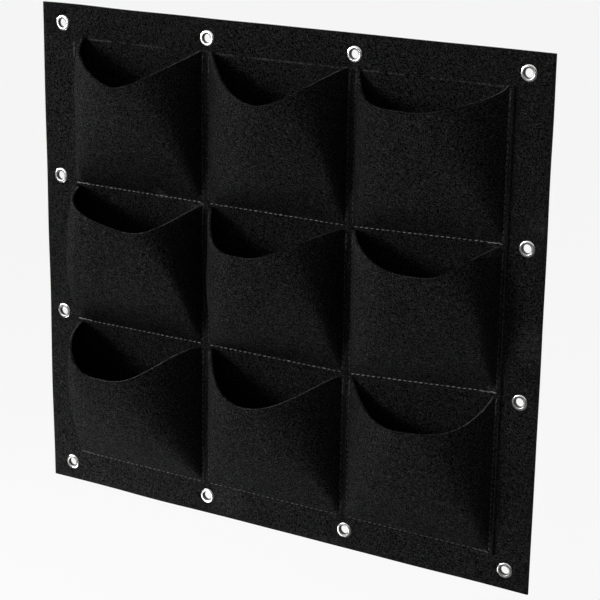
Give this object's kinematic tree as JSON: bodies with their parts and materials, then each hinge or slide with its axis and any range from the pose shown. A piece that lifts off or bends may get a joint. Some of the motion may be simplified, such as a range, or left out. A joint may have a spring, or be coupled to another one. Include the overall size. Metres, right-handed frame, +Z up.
{
  "type": "wall pocket planter",
  "caption": "Black felt panel that hangs flat on a wall from metal eyelets, with rows of sewn open-topped pockets for soil and plants.",
  "frame": {"origin": "The middle of the four corner eyelets, on the back face of the felt, which is also the middle of the panel.", "axes": "+Z is up, +X runs along the panel to the viewer's right, and -Y is the front, towards the room. The wall lies at y = 0."},
  "size_m": [0.525, 0.0639, 0.48],
  "materials": {
    "felt": "Black needled felt, matt and slightly hairy, with a few lighter fibres.",
    "thread": "Dark grey polyester sewing thread.",
    "eyelet_metal": "Bright nickel-plated sheet metal."
  },
  "bodies": {
    "root": {"back_panel": "felt", "pocket_top_left": "felt", "pocket_top_middle": "felt", "pocket_top_right": "felt", "pocket_middle_left": "felt", "pocket_centre": "felt", "pocket_middle_right": "felt", "pocket_bottom_left": "felt", "pocket_bottom_middle": "felt", "pocket_bottom_right": "felt", "thread_top_left": "thread", "thread_top_middle": "thread", "thread_top_right": "thread", "thread_middle_left": "thread", "thread_centre": "thread", "thread_middle_right": "thread", "thread_bottom_left": "thread", "thread_bottom_middle": "thread", "thread_bottom_right": "thread", "eyelet_barrels": "eyelet_metal", "eyelet_washers": "eyelet_metal"}
  },
  "joints": []
}
